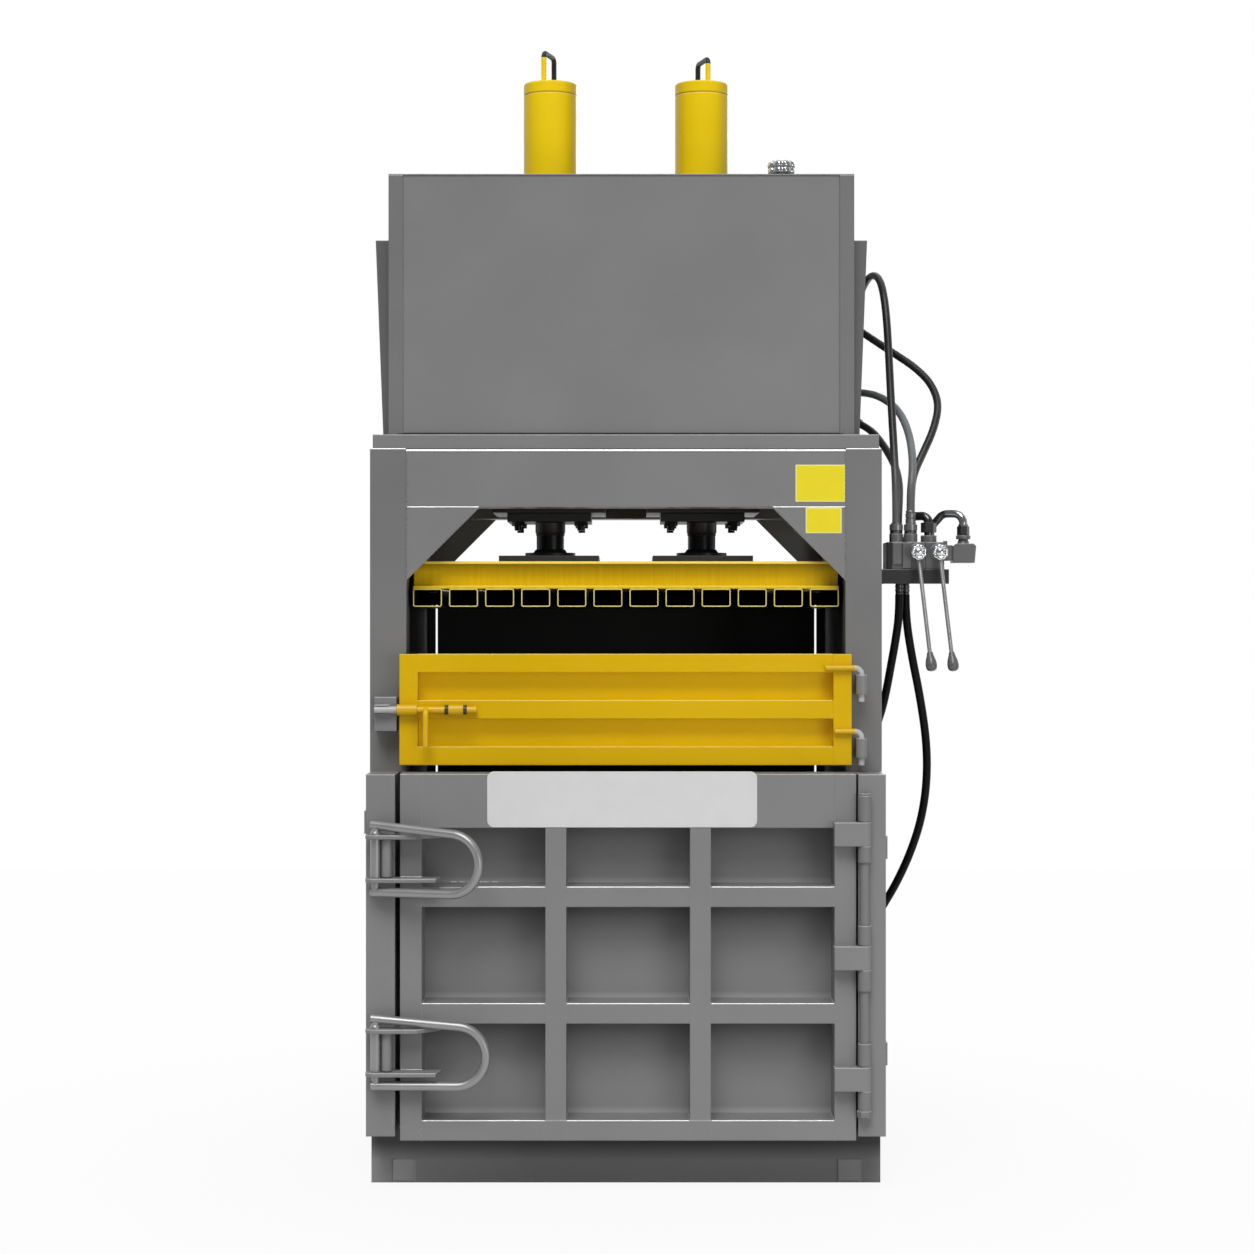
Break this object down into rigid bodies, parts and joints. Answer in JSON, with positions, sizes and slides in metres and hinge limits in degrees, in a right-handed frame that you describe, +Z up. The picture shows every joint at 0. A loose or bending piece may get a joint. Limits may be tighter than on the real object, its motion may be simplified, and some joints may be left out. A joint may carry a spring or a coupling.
{
  "type": "vertical recycling baler",
  "caption": "Upright baler: welded frame, cabinet on top, hydraulic platen, hinged main door with bar locks, small bolted feed door, hand valve with hoses.",
  "frame": {"origin": "on the floor, at the middle of the base rail under the frame", "axes": "+X to the right seen from the front, the front looks along -Y, +Z up"},
  "size_m": [1.674, 1.1997, 3.1975],
  "materials": {
    "grey_paint": "semi-gloss enamel",
    "ochre_paint": "semi-gloss enamel",
    "yellow_paint": "gloss enamel",
    "dark_paint": "matt enamel",
    "machined_steel": "turned, oiled",
    "chrome": "hard chrome, ground",
    "hose_rubber": "smooth hose cover"
  },
  "bodies": {
    "frame": {"base_frame": "grey_paint", "chamber_floor": "grey_paint", "front_columns": "grey_paint", "rear_columns": "grey_paint", "beam_ring": "grey_paint", "cross_beams": "grey_paint", "gussets": "grey_paint", "side_walls": "grey_paint", "rear_wall": "grey_paint", "door_posts": "grey_paint", "door_knuckles": "grey_paint", "door_hinge_pin": "machined_steel", "catch_bars": "grey_paint", "feed_keeper": "grey_paint", "feed_hinge_sleeves": "grey_paint", "deck": "grey_paint", "cabinet_posts": "grey_paint", "cabinet_front_panel": "grey_paint", "cabinet_rear_panel": "grey_paint", "cabinet_cover": "grey_paint", "cabinet_side_panels": "grey_paint", "oil_tank": "dark_paint", "motor": "dark_paint", "pump": "dark_paint", "cylinder_tubes": "yellow_paint", "cylinder_caps": "yellow_paint", "cylinder_flanges": "dark_paint", "cylinder_mount_plates": "dark_paint", "cylinder_glands": "dark_paint", "flange_bolts": "machined_steel", "lifting_loops": "yellow_paint", "valve_bracket": "dark_paint", "valve_body": "machined_steel", "hose_fittings": "machined_steel", "pressure_hose_a": "hose_rubber", "pressure_hose_b": "hose_rubber", "pressure_hose_c": "hose_rubber", "pressure_hose_d": "hose_rubber", "drain_hose_short": "hose_rubber", "drain_hose_long": "hose_rubber"},
    "breather": {"breather_cap": "chrome"},
    "platen": {"platen_frame": "ochre_paint", "platen_tubes": "ochre_paint", "platen_pads": "grey_paint", "piston_rods": "chrome", "pistons": "machined_steel", "rod_feet": "dark_paint"},
    "main_door": {"main_door_frame": "grey_paint", "main_door_sheet": "grey_paint", "door_straps": "grey_paint", "lock_plates": "grey_paint"},
    "upper_lock": {"upper_lock_handle": "grey_paint"},
    "lower_lock": {"lower_lock_handle": "grey_paint"},
    "feed_door": {"feed_door_frame": "ochre_paint", "feed_door_sheet": "ochre_paint", "feed_hinge_pins": "ochre_paint", "bolt_guides": "ochre_paint"},
    "bolt": {"feed_bolt": "ochre_paint"},
    "inner_lever": {"inner_lever": "machined_steel"},
    "outer_lever": {"outer_lever": "machined_steel"}
  },
  "joints": [
    {"name": "platen_slide", "type": "slide", "parent": "frame", "child": "platen", "axis": [0, 0, -1], "range_m": [0, 1]},
    {"name": "main_door_swing", "type": "hinge", "parent": "frame", "child": "main_door", "pos_m": [0.641, -0.624, 0.6], "axis": [0, 0, 1], "range_deg": [0, 165]},
    {"name": "upper_lock_swing", "type": "hinge", "parent": "main_door", "child": "upper_lock", "pos_m": [-0.671, -0.64, 0.908], "axis": [0, 0, -1], "range_deg": [0, 150]},
    {"name": "lower_lock_swing", "type": "hinge", "parent": "main_door", "child": "lower_lock", "pos_m": [-0.671, -0.64, 0.389], "axis": [0, 0, -1], "range_deg": [0, 150]},
    {"name": "feed_door_swing", "type": "hinge", "parent": "frame", "child": "feed_door", "pos_m": [0.642, -0.518, 1.3], "axis": [0, 0, 1], "range_deg": [0, 120]},
    {"name": "feed_bolt_slide", "type": "slide", "parent": "feed_door", "child": "bolt", "axis": [1, 0, 0], "range_m": [0, 0.041]},
    {"name": "inner_lever_swing", "type": "hinge", "parent": "frame", "child": "inner_lever", "pos_m": [0.802, -0.465, 1.733], "axis": [1, 0, 0], "range_deg": [-20, 20], "stiffness_Nm_per_rad": 12},
    {"name": "outer_lever_swing", "type": "hinge", "parent": "frame", "child": "outer_lever", "pos_m": [0.861, -0.465, 1.733], "axis": [1, 0, 0], "range_deg": [-20, 20], "stiffness_Nm_per_rad": 12},
    {"name": "breather_cap_turn", "type": "hinge", "parent": "frame", "child": "breather", "pos_m": [0.437, -0.3, 2.8], "axis": [0, 0, 1], "range_deg": [0, 90]}
  ]
}
